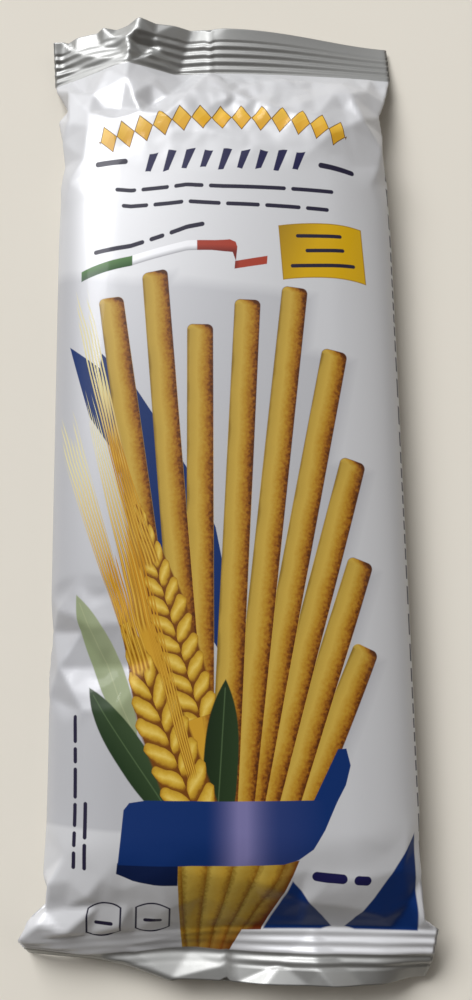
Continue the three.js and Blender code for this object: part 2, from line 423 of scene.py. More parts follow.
def simulated_film():
    """The film at its finest, and its points."""
    P = None
    for columns, rows, steps, pressure in FINENESSES:
        film = Film(columns, rows)
        start = film.pillow() if P is None else film.refined(P)
        P = film.relax(start, steps, pressure)
    return film, smooth_middle(film, P)


# ---- Creases ----
# Corners of the clear facets on the front: places on the web and how far each is pushed out
CREASES = [
    # the tent below the top seal
    (-24.2, 241.1, 0), (-31, 238, 0.3), (-19, 224.9, -1.9), (-28, 224, -1.9),
    (-32.5, 224.2, -1.2), (-21.5, 220.6, 0.5), (-29, 219, 0.4), (-36.5, 222, 0.4),
    (-7.6, 226.8, 0.8), (-10.6, 223, 0.6), (-14.5, 219, 0.4), (-13.8, 227.5, -1.2),
    (-3.6, 225.7, 0.2), (-2.3, 235, 0.6), (-8.5, 236, -0.6), (-16.5, 236, -0.5),
    (-13.6, 213.6, 0.1), (-20.5, 215, 0),
    # the left shoulder and the tuck below the seal's end
    (-43.2, 231.8, 0.7), (-47, 230, -2.2), (-43.6, 221, 0.3), (-49, 238, 0),
    (-38, 208, 0.3), (-39, 233.5, -0.5), (-35.5, 229.5, 0.5),
    # the right shoulder
    (38.1, 218.3, 0.9), (48, 231, -0.2), (48, 219.6, -0.8), (33.5, 222, -0.5), (34, 215.5, 0.2),
    (36.1, 204.4, -0.7), (43.5, 207.2, 0.2), (48.5, 204.3, -0.4), (39.5, 199.6, 0.7), (44.5, 212.5, 0.4),
    # the dent at the left
    (-48.6, 84.1, -0.5), (-44.1, 88.6, 0.2), (-40.1, 87.5, 0.2), (-37.3, 83.4, -0.9), (-43.7, 74.8, 0.3),
    (-34, 84.6, 0.1), (-31.2, 75.6, -1.8), (-24.9, 76.2, -1.2), (-19, 77.5, 0), (-36.4, 65, 0.2),
    (-47.5, 68, 0.2), (-27, 66, 0.2), (-27, 86, 0), (-49.5, 95, 0), (-38, 96, 0),
    # the lower left
    (-43.4, 25.2, 0.8), (-33.7, 23.4, 0.2), (-39.6, 20.4, -1.5), (-43.9, 18.4, -1.2), (-44.6, 16.2, 0.6),
    (-38.3, 14.4, 0.8), (-30.5, 20.9, -0.9), (-23.4, 20.9, -0.7), (-30, 28, 0.2), (-40, 32, 0),
    (-15, 20, 0), (-26, 15.5, 0.5), (-39, 12.5, 0), (-48.6, 16.8, -0.2), (-48.6, 21.5, -4.2),
    (-48.6, 27, -0.8), (-53.5, 16.8, -0.2), (-53.5, 21.5, -3.6), (-53.5, 27, -0.8), (-48.5, 36, 0),
    (-53.5, 36, 0),
    # the lower right
    (40.3, 28.2, 0.1), (42.7, 19.3, -0.8), (46, 15.5, 0.6), (36, 17, 0.3),
]
CREASE_DEPTH = 1.2  # times the pushes above
CREASE_CLEARANCE = 4.5  # of loose facets' corners from those above
FACET_STEP = np.array([7, 8.5])  # between the corners of loose facets, round and along
FACET_LIFT = 1.1
CRINKLE_STEP = np.array([3, 3.6])
CRINKLE_LIFT = 0.12
CRUSHED_LIFT = 0.6  # of the crinkles where the film is crushed most
CRUSHED_MIDDLE, CRUSHED_REACH = (9, 225), (17, 11)
DENT_MIDDLE, DENT_REACH = (-36, 79), (19, 17)
BASE_STEP = 5.5  # between the facets' corners along the seals' bases


def scattered(rng, step, low, high):
    """Places on the web in an uneven net, from one distance along to another."""
    round_count, along_count = np.ceil([WEB_WIDTH / step[0], (high - low) / step[1]]).astype(int)
    i, j = np.meshgrid(np.arange(round_count), np.arange(along_count + 1), indexing="ij")
    web = -FILM_WIDTH + (i + 0.5 * (j % 2) + rng.uniform(-0.36, 0.36, i.shape)) * WEB_WIDTH / round_count
    along = low + (j + rng.uniform(-0.36, 0.36, i.shape)) * (high - low) / along_count
    places = np.stack([web.ravel(), along.ravel()], 1)
    return places[(places[:, 1] > SEAL_WIDTH + 2) & (places[:, 1] < SEAL_WIDTH + TUBE_LENGTH - 2)]


def joined_up(places, values):
    """Repeats places near the back's middle on the other side of it, so that the net joins up."""
    before, after = places - [WEB_WIDTH, 0], places + [WEB_WIDTH, 0]
    near = [before[:, 0] > -FILM_WIDTH - 25, after[:, 0] < FILM_WIDTH + 25]
    return (np.concatenate([places, before[near[0]], after[near[1]]]),
            np.concatenate([values, values[near[0]], values[near[1]]]))


def on_film(film, P, places):
    """Points of the film at places on the web."""
    column = ((places[:, 0] + FILM_WIDTH) / film.step_round) % film.columns
    row = np.clip((places[:, 1] - SEAL_WIDTH) / film.step_along, 0, film.rows - 1e-6)
    c, r = column.astype(int), row.astype(int)
    u, v = (column - c)[:, None], (row - r)[:, None]
    d = (c + 1) % film.columns
    return (P[r, c] * (1 - u) + P[r, d] * u) * (1 - v) + (P[r + 1, c] * (1 - u) + P[r + 1, d] * u) * v


def crease_share(web, along):
    """How far the film follows the flat facets between its creases: most near its ends."""
    top, bottom = SEAL_WIDTH + TUBE_LENGTH - along, along - SEAL_WIDTH
    edge = ease((np.abs(web) - 20) / 30)
    share = np.maximum(1 - ease((top - 22) / (18 + 14 * edge)), 1 - ease((bottom - 8) / (16 + 8 * edge)))
    dent = np.hypot((web - DENT_MIDDLE[0]) / DENT_REACH[0], (along - DENT_MIDDLE[1]) / DENT_REACH[1])
    return np.maximum(share, 1 - ease((dent - 0.75) / 0.35))


def crumpled(film, P):
    """Flattens the film between creases, near its ends and at its dents."""
    rng = np.random.default_rng(7)
    normal = grid_normals(P)
    creases = np.array(CREASES)
    loose = np.concatenate([
        scattered(rng, FACET_STEP, SEAL_WIDTH, SEAL_WIDTH + 45), scattered(rng, 2.2 * FACET_STEP, 60, 190),
        scattered(rng, FACET_STEP, 195, SEAL_WIDTH + TUBE_LENGTH)])
    gap = np.linalg.norm(loose[:, None] - creases[None, :, :2], axis=-1).min(1)
    loose = loose[gap > CREASE_CLEARANCE]
    bases = np.arange(-FILM_WIDTH, FILM_WIDTH, BASE_STEP)
    edges = np.array([(b, a) for b in bases for a in (SEAL_WIDTH, SEAL_WIDTH + TUBE_LENGTH)])
    places = np.concatenate([creases[:, :2], loose, edges])
    loose_push = rng.uniform(-1, 1, len(loose)) * FACET_LIFT
    push = np.concatenate([creases[:, 2] * CREASE_DEPTH, loose_push, np.zeros(len(edges))])
    places, push = joined_up(places, push)
    corners = on_film(film, P, places) + on_film(film, normal, places) * push[:, None]

    web, along = np.meshgrid(film.web, SEAL_WIDTH + film.along)
    wanted = np.stack([web.ravel(), along.ravel()], 1)
    index, share = facet_weights(places.tolist(), wanted)
    flat = (corners[index] * share[..., None]).sum(1).reshape(P.shape)
    follow = crease_share(web, along)[..., None]
    P = P + (flat - P) * follow

    small = scattered(rng, CRINKLE_STEP, SEAL_WIDTH, SEAL_WIDTH + TUBE_LENGTH)
    small, lift = joined_up(small, rng.uniform(-1, 1, len(small)))
    index, share = facet_weights(small.tolist(), wanted)
    crinkle = (lift[index] * share).sum(1).reshape(web.shape)
    aside = (web - CRUSHED_MIDDLE[0]) / CRUSHED_REACH[0]
    crushed = np.exp(-aside ** 2 - ((along - CRUSHED_MIDDLE[1]) / CRUSHED_REACH[1]) ** 2)
    crinkle = crinkle * (CRINKLE_LIFT + (CRUSHED_LIFT - CRINKLE_LIFT) * crushed)
    P = P + grid_normals(P) * (crinkle * crease_share(web, along) * ease(film.inward / 3)[:, None])[..., None]
    film.keep_apart(P)
    return P


# ---- The film's mesh ----
RIB_COUNT = 4
RIB_PITCH = 2.2
RIB_RISE = 0.22
RIB_START = 0.5
SEAL_STEP = 0.32


def rib_wave(r):
    """How far a seal's ribs rise at a distance out from its base."""
    along = (r - RIB_START) / RIB_PITCH
    return np.where((along > 0) & (along < RIB_COUNT), RIB_RISE * np.sin(2 * np.pi * along), 0)


def seal_rows(film, seal):
    """The grid of a seal from just outside its base to its cut edge, and its distances out."""
    count = round(SEAL_WIDTH / SEAL_STEP)
    r = np.linspace(0, SEAL_WIDTH, count + 1)[1:, None]
    s = film.s[None, :]
    point, normal = seal_surface(seal, s + 0 * r, r + 0 * s)
    crossing = FIN_RIDGE * np.exp(-((s - FIN_CENTRE) / 0.5) ** 2)
    rise = rib_wave(r) * seal.rib_share(s, r) + film.layer() + pressed_folds(seal, s, r) + crossing
    return point + normal * rise[..., None], r[:, 0]


def whole_grid(film, P):
    """All rows of the film from one cut edge to the other, and each row's place along the web."""
    low, low_r = seal_rows(film, BottomSeal)
    high, high_r = seal_rows(film, TopSeal)
    grid = np.concatenate([low[::-1], P, high])
    grid[..., 2] = np.maximum(grid[..., 2], TABLE_GAP)
    along = np.concatenate([
        SEAL_WIDTH - low_r[::-1], SEAL_WIDTH + film.along, SEAL_WIDTH + TUBE_LENGTH + high_r])
    return grid, along


def mesh_object(name, points, faces, uvs=None, material=None):
    """A smooth mesh from points in millimetres, with uvs for the corners of its faces."""
    mesh = bpy.data.meshes.new(name)
    mesh.from_pydata((np.asarray(points) * MM).tolist(), [], faces)
    mesh.polygons.foreach_set("use_smooth", [True] * len(mesh.polygons))
    if uvs is not None:
        for layer_name in ("Web", "OFBake"):
            layer = mesh.uv_layers.new(name=layer_name)
            layer.data.foreach_set("uv", np.asarray(uvs, dtype=np.float32).ravel())
    if material:
        mesh.materials.append(material)
    piece = bpy.data.objects.new(name, mesh)
    bpy.context.scene.collection.objects.link(piece)
    return piece


def film_piece(film, grid, along, material):
    """The whole film, with the cut edges of its two layers closed."""
    rows, columns = grid.shape[:2]
    row = np.arange(rows - 1)[:, None]
    column = np.arange(columns)[None, :]
    a = row * columns + column
    b = row * columns + (column + 1) % columns
    quads = np.stack([a, b, b + columns, a + columns], -1).reshape(-1, 4)
    x0 = (column / columns + 0 * row).ravel()
    x1 = ((column + 1) / columns + 0 * row).ravel()
    y0 = (along[:-1, None] / WEB_LENGTH + 0 * column).ravel()
    y1 = (along[1:, None] / WEB_LENGTH + 0 * column).ravel()
    uvs = np.stack([x0, y0, x1, y0, x1, y1, x0, y1], -1).reshape(-1, 2).tolist()
    faces = quads.tolist()
    for start, height, turned in ((0, 0, False), ((rows - 1) * columns, 1, True)):
        for i in range(columns // 4, 3 * columns // 4):
            corners = [film.mirror[i], film.mirror[i + 1], i + 1, i]
            loop = list(dict.fromkeys(int(c) for c in (corners[::-1] if turned else corners)))
            faces.append([start + c for c in loop])
            uvs.extend([[c / columns, height] for c in loop])
    return mesh_object("film", grid.reshape(-1, 3), faces, uvs, material)


def fin_seal_piece(film, grid, material):
    """The lengthwise seal, folded flat against the back: a thin closed strip with fine ribs."""
    outer = np.linspace(-FIN_HALF_WIDTH, FIN_HALF_WIDTH, 41)
    inner = np.linspace(FIN_HALF_WIDTH, -FIN_HALF_WIDTH, 13)
    place = np.concatenate([outer, inner])
    ribs = FIN_RIB_RISE * np.cos(2 * np.pi * outer / FIN_RIB_PITCH)
    lift = np.concatenate([FIN_LIFTS[0] + ribs, FIN_LIFTS[1] + 0 * inner])
    rows = grid[::2]
    normal = grid_normals(grid)[::2]
    column = (-(FIN_CENTRE + place) / film.step_round) % film.columns
    c = column.astype(int)
    d = (c + 1) % film.columns
    u = (column - c)[None, :, None]
    strip = rows[:, c] * (1 - u) + rows[:, d] * u
    outward = normal[:, c] * (1 - u) + normal[:, d] * u
    strip = strip + outward * lift[None, :, None]
    strip[..., 2] = np.maximum(strip[..., 2], TABLE_GAP / 2)
    count, ring = strip.shape[:2]
    faces = [[r * ring + k, (r + 1) * ring + k, (r + 1) * ring + (k + 1) % ring, r * ring + (k + 1) % ring]
             for r in range(count - 1) for k in range(ring)]
    faces.append(list(range(ring)))
    faces.append([(count - 1) * ring + k for k in reversed(range(ring))])
    return mesh_object("fin_seal", strip.reshape(-1, 3), faces, material=material)


# ---- Materials ----
def linear(red, green, blue):
    """A colour given as 0 to 255 on screen, as the shader's linear colour."""
    def one(c):
        c /= 255
        return c / 12.92 if c <= 0.04045 else ((c + 0.055) / 1.055) ** 2.4
    return (one(red), one(green), one(blue), 1)


class Field:
    """A number that varies over a surface: a socket of a material's nodes, with arithmetic."""

    def __init__(self, tree, socket):
        self.tree, self.socket = tree, socket

    def math(self, operation, *others):
        node = self.tree.nodes.new("ShaderNodeMath")
        node.operation = operation
        for slot, value in zip(node.inputs, (self, *others)):
            connect(self.tree, value, slot)
        return Field(self.tree, node.outputs[0])

    def __add__(self, other):
        return self.math("ADD", other)

    def __sub__(self, other):
        return self.math("SUBTRACT", other)

    def __rsub__(self, other):
        return (self * -1) + other

    def __mul__(self, other):
        return self.math("MULTIPLY", other)

    __radd__ = __add__
    __rmul__ = __mul__

    def abs(self):
        return self.math("ABSOLUTE")

    def max(self, other):
        return self.math("MAXIMUM", other)

    def min(self, other):
        return self.math("MINIMUM", other)

    def squared(self):
        return self * self

    def inside(self, soft=0.16):
        """1 where this distance is below 0, 0 where it is above, soft in between."""
        return self.ranged(soft / 2, -soft / 2)

    def ranged(self, zero, one):
        """0 at one value, 1 at the other, straight in between and level outside."""
        node = self.tree.nodes.new("ShaderNodeMapRange")
        connect(self.tree, self, node.inputs["Value"])
        node.inputs["From Min"].default_value = zero
        node.inputs["From Max"].default_value = one
        return Field(self.tree, node.outputs[0])


def connect(tree, value, slot):
    """Feeds a field or a plain value to a node's input."""
    if isinstance(value, Field):
        tree.links.new(value.socket, slot)
    else:
        slot.default_value = value


def mixed(tree, share, first, second, kind="RGBA"):
    """A colour or a number between two: the first where share is 0, the second where it is 1."""
    node = tree.nodes.new("ShaderNodeMix")
    node.data_type = kind
    connect(tree, share, node.inputs["Factor"])
    connect(tree, first, node.inputs["A"])
    connect(tree, second, node.inputs["B"])
    return Field(tree, node.outputs["Result"])


def vector_math(tree, operation, *values):
    """The node of a sum or a product of vectors."""
    node = tree.nodes.new("ShaderNodeVectorMath")
    node.operation = operation
    for slot, value in zip(node.inputs, values):
        connect(tree, value, slot)
    return node


def ramp(tree, value, stops):
    """A colour that runs through the stops, each a place from 0 to 1 and a colour."""
    node = tree.nodes.new("ShaderNodeValToRGB")
    elements = node.color_ramp.elements
    while len(elements) < len(stops):
        elements.new(0.5)
    for element, (place, colour) in zip(elements, stops):
        element.position = place
        element.color = colour
    connect(tree, value, node.inputs["Fac"])
    return Field(tree, node.outputs["Color"])


def noise(tree, vector, scale, detail=2):
    """Smooth random mottle, from 0 to 1."""
    node = tree.nodes.new("ShaderNodeTexNoise")
    node.inputs["Scale"].default_value = scale
    node.inputs["Detail"].default_value = detail
    connect(tree, vector, node.inputs["Vector"])
    return Field(tree, node.outputs["Fac"])


def new_material(name):
    """A material, its nodes and its shader."""
    material = bpy.data.materials.new(name)
    material.use_nodes = True
    return material, material.node_tree, material.node_tree.nodes["Principled BSDF"]


# ---- Camera, floor and light ----
CAMERA_PLACE = (1.9, -46, 219.6)  # in millimetres
CAMERA_TILT = 9.49  # in degrees, towards the top seal
CAMERA_ROLL = -0.9
WINDOW_DIRECTION = (-0.43, 0.62, 0.655)
WINDOW_DISTANCE = 5
TABLE_HALF = 1.6
TABLE_COLOUR = (0.69, 0.65, 0.575, 1)


def make_camera():
    """The photo's view: from above, a little below the pack's middle."""
    data = bpy.data.cameras.new("camera")
    data.lens = 30
    data.sensor_fit = "VERTICAL"
    data.sensor_height = 36
    data.sensor_width = 36
    camera = bpy.data.objects.new("camera", data)
    bpy.context.scene.collection.objects.link(camera)
    camera.location = Vector(CAMERA_PLACE) * MM
    camera.rotation_euler = Euler((math.radians(CAMERA_TILT), 0, 0), "XYZ")
    camera.rotation_euler.rotate_axis("Z", math.radians(CAMERA_ROLL))
    bpy.context.scene.camera = camera


def area_light(name, place, size, power, colour):
    """A flat lamp that faces the pack's middle."""
    data = bpy.data.lights.new(name, "AREA")
    data.shape = "RECTANGLE"
    data.size, data.size_y = size
    data.energy = power
    data.color = colour
    lamp = bpy.data.objects.new(name, data)
    bpy.context.scene.collection.objects.link(lamp)
    lamp.location = place
    lamp.rotation_euler = (-Vector(place)).to_track_quat("-Z", "Y").to_euler()


def make_studio():
    """A dim warm room with one large window at the upper left, and light from the wall at the right."""
    world = bpy.data.worlds.new("studio")
    world.use_nodes = True
    bpy.context.scene.world = world
    tree = world.node_tree
    direction = tree.nodes.new("ShaderNodeTexCoord")
    facing = vector_math(tree, "DOT_PRODUCT", Field(tree, direction.outputs["Generated"]), WINDOW_DIRECTION)
    glow = ramp(tree, Field(tree, facing.outputs["Value"]) * 0.5 + 0.5, [
        (0, (0.025, 0.016, 0.008, 1)), (0.45, (0.06, 0.048, 0.035, 1)), (0.78, (0.105, 0.095, 0.085, 1)),
        (0.9, (0.28, 0.285, 0.29, 1)), (1, (1, 1.03, 1.07, 1))])
    connect(tree, glow, tree.nodes["Background"].inputs["Color"])
    area_light("window", Vector(WINDOW_DIRECTION) * WINDOW_DISTANCE, (3.4, 2.2), 305, (0.985, 0.99, 1))
    area_light("wall", (2.4, 0.5, 1.9), (2.2, 2.2), 9, (1, 0.98, 0.95))
    bpy.context.scene.view_settings.view_transform = "Standard"


def make_floor():
    corners = [(x * TABLE_HALF, y * TABLE_HALF, 0) for x, y in ((-1, -1), (1, -1), (1, 1), (-1, 1))]
    floor = mesh_object("floor", np.array(corners) / MM, [[0, 1, 2, 3]])
    material, _, shader = new_material("table")
    shader.inputs["Base Color"].default_value = TABLE_COLOUR
    shader.inputs["Roughness"].default_value = 0.8
    shader.inputs["Specular IOR Level"].default_value = 0.1
    floor.data.materials.append(material)


# ---- The print ----
WHITE = linear(196, 196, 198)
SILVER = linear(160, 160, 158)
NAVY = linear(24, 22, 66)
INK = linear(30, 26, 48)
GOLD = linear(204, 150, 22)
GOLD_SHADE = linear(104, 70, 14)
BLUE = linear(8, 40, 94)
BLUE_DARK = linear(6, 22, 58)
BLUE_LIGHT = linear(112, 108, 152)
LEAF = linear(26, 46, 20)
LEAF_RIB = linear(74, 94, 60)
LEAF_PALE = linear(128, 138, 104)
LEAF_PALE_RIB = linear(150, 156, 122)
HUSK_GAP = linear(104, 58, 8)
STRAW = linear(206, 196, 146)
STRAW_GOLD = linear(176, 122, 14)
PANEL = linear(196, 154, 6)
PANEL_SHADE = linear(150, 116, 14)
GREEN = linear(34, 74, 28)
GREEN_LIGHT = linear(78, 118, 64)
RED = linear(156, 56, 38)
RED_DARK = linear(112, 34, 26)
RIBBON_WHITE = linear(216, 216, 218)
RIBBON_SHADE = linear(146, 146, 150)
SHADOW = linear(120, 120, 128)
PRINT_START, PRINT_END = 6.7, SEAL_WIDTH + TUBE_LENGTH - 0.4  # the seals are bare beyond these


class Print:
    """The print on the film: coloured shapes laid over each other, in millimetres on the web.
    X runs across from the middle of the front, Y along from the bottom cut edge. A shape is a
    field that is negative inside and, near its outline, a distance."""

    def __init__(self, tree):
        self.tree = tree
        uv = tree.nodes.new("ShaderNodeUVMap")
        uv.uv_map = "Web"
        scale, start = (WEB_WIDTH, WEB_LENGTH, 0), (-FILM_WIDTH, 0, 1)
        place = vector_math(tree, "MULTIPLY_ADD", Field(tree, uv.outputs[0]), scale, start)
        self.place = Field(tree, place.outputs[0])
        split = tree.nodes.new("ShaderNodeSeparateXYZ")
        tree.links.new(place.outputs[0], split.inputs[0])
        self.X, self.Y = Field(tree, split.outputs[0]), Field(tree, split.outputs[1])
        self.colour = WHITE

    def paint(self, mask, colour):
        self.colour = mixed(self.tree, mask, self.colour, colour)

    def noise(self, scale, detail=2):
        return noise(self.tree, self.place, scale, detail)

    def line(self, a, b, c):
        """a X + b Y + c"""
        sum_of_three = vector_math(self.tree, "DOT_PRODUCT", self.place, (a, b, c))
        return Field(self.tree, sum_of_three.outputs["Value"])

    def axes(self, start, end):
        """Distances along a line from its start, and to its right, and its length."""
        dx, dy = end[0] - start[0], end[1] - start[1]
        length = math.hypot(dx, dy)
        dx, dy = dx / length, dy / length
        along = self.line(dx, dy, -dx * start[0] - dy * start[1])
        across = self.line(dy, -dx, -dy * start[0] + dx * start[1])
        return along, across, length

    def shape(self, *corners):
        """A shape with straight sides that bulges out all round, its corners anticlockwise."""
        sides = [self.axes(*side)[1] for side in zip(corners, corners[1:] + corners[:1])]
        return functools.reduce(Field.max, sides)

    def paint_bar(self, start, end, half_height, colour=INK):
        """A bar with round ends."""
        along, across, length = self.axes(start, end)
        over = ((along - length / 2).abs() - (length / 2 - half_height)).max(0)
        outside = (over.squared() + across.squared() - half_height ** 2) * (0.5 / half_height)
        self.paint(outside.inside(), colour)

    def leaf(self, start, end, half_width):
        """A leaf from one blunt tip to the other, and the place across it."""
        along, across, length = self.axes(start, end)
        from_middle = (along * (2 / length) - 1).squared().math("POWER", 1.4)
        return across.abs() + (from_middle - 1) * half_width, across


def paint_banner(p):
    """The dark blue ribbon that flows behind the fan, with a notch in its upper edge."""
    left = p.shape((-41.7, 155.9), (-35.4, 137), (-28, 127), (-26, 145), (-33.7, 150.4))
    crest = p.shape((-33, 148), (-22, 104), (-16, 104), (-18.6, 137.2), (-23.6, 145.2),
                    (-32.2, 153.6))
    flow = p.shape((-18, 104), (-2, 78), (-1.6, 100), (-3.2, 108.5), (-10.4, 123.4),
                   (-19, 137.5))
    p.paint(left.min(crest).min(flow).inside(), BLUE)


# The printed fan of sticks: the middles of their lower and upper ends, from the left
FAN_FOOT_Y = 40
FAN_TOPS = [(-30, 168.6), (-18.4, 175.2), (-6.6, 159.8), (5.8, 166.2), (18.2, 169.4),
            (28.1, 152.8), (31.9, 124.7), (32.9, 100), (33.4, 79.2)]
FAN_FEET = [-11.5, -8.2, -7.6, -2.4, 1.2, 3.2, 6.2, 10.8, 15]
STICK_HALF_WIDTH = 3.35
STICK_END_ROUNDING = 1.5
STICK_SHADOW = 3.4


def paint_fan(p):
    """Breadsticks fanned out over the dark ribbon, each over the one to its right."""
    tree = p.tree
    crust_place, covered, shade = None, None, None
    straight = STICK_HALF_WIDTH - STICK_END_ROUNDING
    for foot, top in reversed(list(zip(FAN_FEET, FAN_TOPS))):
        along, across, length = p.axes((foot, FAN_FOOT_Y), top)
        past = (along - (length - STICK_END_ROUNDING)).max(0)
        aside = (across.abs() - straight).max(0)
        outside = (past.squared() + aside.squared() - STICK_END_ROUNDING ** 2) * (0.5 / STICK_END_ROUNDING)
        mask = outside.inside(0.2)
        beside = across.ranged(STICK_HALF_WIDTH + STICK_SHADOW, STICK_HALF_WIDTH)
        beside = beside.min(along.ranged(length, length - STICK_SHADOW))
        place = across + past * 1.6
        crust_place = place if crust_place is None else mixed(tree, mask, crust_place, place, "FLOAT")
        covered = mask if covered is None else covered.max(mask)
        shade = beside if shade is None else shade.max(beside)
    above_foot = p.Y.ranged(38, 39)
    p.paint(shade.min(above_foot) * 0.3, SHADOW)
    paint_banner(p)
    grain = p.noise(1.3, 4) * 0.5 - 0.25
    t = crust_place * (0.5 / STICK_HALF_WIDTH) + 0.5
    t = t + grain * t.ranged(0.2, 0.9) + (p.noise(0.11, 2) * 0.24 - 0.12)
    crust = ramp(tree, t, [
        (0, linear(128, 102, 34)), (0.1, linear(170, 140, 58)), (0.38, linear(184, 152, 64)),
        (0.62, linear(168, 126, 36)), (0.8, linear(144, 92, 18)), (0.91, linear(110, 60, 10)),
        (1, linear(76, 38, 8))])
    p.paint(covered.min(above_foot), crust)


def paint_ear(p, foot, tip, half_width, pitch):
    """An ear of wheat: plump pointed grains that lean out from its middle on either side."""
    tree = p.tree
    along, across, length = p.axes(foot, tip)
    narrowing = along.ranged(length + 6, length * 0.5) * half_width
    v = across.abs().math("DIVIDE", narrowing.max(0.5))
    right = across.ranged(-0.01, 0.01)
    uneven = (p.noise(0.3, 1) - 0.5) * 1.8
    cell = (along + uneven - v * (half_width * 0.8) + right * (pitch / 2)) * (1 / pitch)
    c = cell.math("FRACT") - 0.5
    plump = (1 - ((v - 0.47) * 1.84).squared().squared()) * 0.5
    grain = c.abs() - plump
    inside_ear = along.min(length - along).ranged(-0.1, 0.1)
    p.paint((v - 0.9).inside(0.1) * inside_ear, HUSK_GAP)
    tone = grain * -1.7 + c * 0.4 + 0.04 + (p.noise(1.4, 3) - 0.5) * 0.3
    colour = ramp(tree, tone, [
        (0, linear(118, 72, 10)), (0.22, linear(164, 122, 28)), (0.55, linear(190, 153, 48)),
        (0.95, linear(212, 184, 92))])
    p.paint(grain.ranged(0, -0.05) * inside_ear, colour)


def paint_awns(p, foot, tip, foot_half, tip_half, count, tips=STRAW):
    """A sheaf of bristles: golden and close at the foot, in another colour and loose at the tips."""
    tree = p.tree
    along, across, length = p.axes(foot, tip)
    half = along * ((tip_half - foot_half) / length) + foot_half
    a = across.math("DIVIDE", half.max(0.4))
    wander = p.noise(0.045, 1) * 2.4
    thread = ((a * (count / 2) + wander).math("FRACT") - 0.5).abs()
    t = along * (1 / length)
    ragged = t + (a * 5).math("SINE") * 0.07
    mask = (thread - (0.52 - t * 0.36)).ranged(0.06, -0.06)
    mask = mask * ragged.ranged(1, 0.94) * a.abs().ranged(1.05, 0.9) * t.ranged(0, 0.04)
    gold = mixed(tree, thread.ranged(0.4, 0.08), linear(142, 94, 10), linear(196, 154, 52))
    p.paint(mask, mixed(tree, t.ranged(0.3, 0.8), gold, tips))


def paint_leaf(p, foot, tip, half_width, colour, light, rib):
    """An olive leaf with its midrib, lit from the right."""
    edge, across = p.leaf(foot, tip, half_width)
    p.paint(edge.inside(0.3), mixed(p.tree, across.ranged(-half_width, half_width), colour, light))
    p.paint((across.abs() - 0.1).max(edge + 1).inside(0.3), rib)


def paint_foot(p):
    """The lower ends of the fan, below the band, with a burnt right side and painted shade at its lower left.
    """
    burnt_side = ((7.4, 11.8), (15.6, 32))
    foot = p.shape((-11.6, 11.7), *burnt_side, (-12.9, 32))
    foot = foot.min(p.shape((-11.4, 6.4), (-0.3, 6.4), (3, 12), (-11.6, 12)))
    fan = ((p.X + 9.1).math("DIVIDE", p.Y + 13.6) + 0.06) * (1 / 0.135)
    t = fan.math("FRACT") + (p.noise(1.2, 3) - 0.5) * 0.36
    crust = ramp(p.tree, t, [
        (0, linear(134, 104, 34)), (0.22, linear(180, 152, 66)), (0.7, linear(172, 136, 46)),
        (1, linear(128, 86, 18))])
    edge = p.axes(*burnt_side)[1] + (p.noise(0.7, 2) - 0.5) * 1.6
    burnt_and_shade = edge.ranged(-4.4, -0.3) * 0.9
    # Painted shade: darker towards the bottom and the left, where the seal's base lies in the pack's shadow.
    burnt_and_shade = burnt_and_shade + p.Y.ranged(15, 8) * p.X.ranged(-11, 2) * 0.8 + p.Y.ranged(20, 6) * 0.25
    p.paint(foot.inside(), mixed(p.tree, burnt_and_shade.min(1), crust, linear(92, 36, 6)))


def paint_band(p):
    """The blue ribbon round the fan: its tail, its turned-under end and its lit middle."""
    tail = p.shape((17.5, 42), (24, 43.4), (26.9, 48.2), (28.2, 52.5), (27.3, 56.3), (25.3, 56.2))
    p.paint(tail.inside(), BLUE)
    under = p.shape((-26.9, 29.1), (-23, 27.6), (-18, 26.7), (-12.6, 26.4), (-12.6, 31.6),
                    (-26.7, 31.6))
    p.paint(under.inside(), BLUE_DARK)
    band = p.shape((-26.6, 31.2), (12, 31.2), (15.4, 32.1), (18.9, 34.4), (21.7, 38.6), (24.9, 45),
                   (-20.4, 45.5), (-24.3, 44.9), (-25.6, 43.3))
    # A painted highlight down the ribbon's middle and a fainter sheen to its right: partly the print's own
    # satin look, partly glare on the film.
    lit = (p.X - 2.4).abs().ranged(9, 1).squared()
    lit = lit + p.X.ranged(22, 8) * p.X.ranged(3, 10) * 0.12
    p.paint(band.inside(), mixed(p.tree, lit, BLUE, BLUE_LIGHT))
    dip = p.Y + (p.X + 19).squared() * 0.02 - 31
    p.paint((dip.abs() - 0.07).max(p.X + 12.8).max(band).inside(0.3), BLUE_DARK)


def paint_swoosh(p):
    """Two blue fields at the lower right, with a rounded V of bare film between them."""
    rise = (p.Y - 12.6).max(0)
    vee = (p.X - 25.6).abs() - (rise * 0.56 + rise.squared() * 0.0088 + 1.5)
    left = p.axes((8, 12), (15.8, 31))[1] * -1
    low = 12 - p.Y
    round_low = (p.X - 25.6).abs().ranged(4, 0) * 1.2 + low
    p.paint((vee * -1).max(left).max(round_low).max(p.X - 44.6).inside(0.4), BLUE)


def paint_flag(p):
    """A waving ribbon in three colours that curls back at its right end."""
    height = p.Y + (p.X + 5).squared() * 0.0057 - 181
    band = (height.abs() - 1.35).max((p.X + 20.6).abs() - 17.8)
    green = mixed(p.tree, height.ranged(-1.3, 1.3), GREEN, GREEN_LIGHT)
    white = mixed(p.tree, height.ranged(-1.4, 0), RIBBON_SHADE, RIBBON_WHITE)
    red = mixed(p.tree, height.ranged(-1.4, 0.2), RED_DARK, RED)
    colour = mixed(p.tree, p.X.ranged(-24.4, -24.2), green, white)
    colour = mixed(p.tree, p.X.ranged(-7.3, -7.1), colour, red)
    p.paint(band.inside(), colour)
    bend = p.shape((-3, 179.6), (2.4, 179), (3.35, 180.4), (2.9, 181.8), (1.4, 182.5), (-3, 182.3))
    curl = p.shape((2, 179.3), (2.9, 176.6), (3.35, 180.5))
    tail = p.shape((2.5, 174.5), (11, 175.7), (11.2, 177.9), (2.7, 176.6))
    p.paint(bend.min(curl).inside(), red)
    p.paint(tail.inside(), mixed(p.tree, p.X.ranged(2.5, 4), RED_DARK, RED))


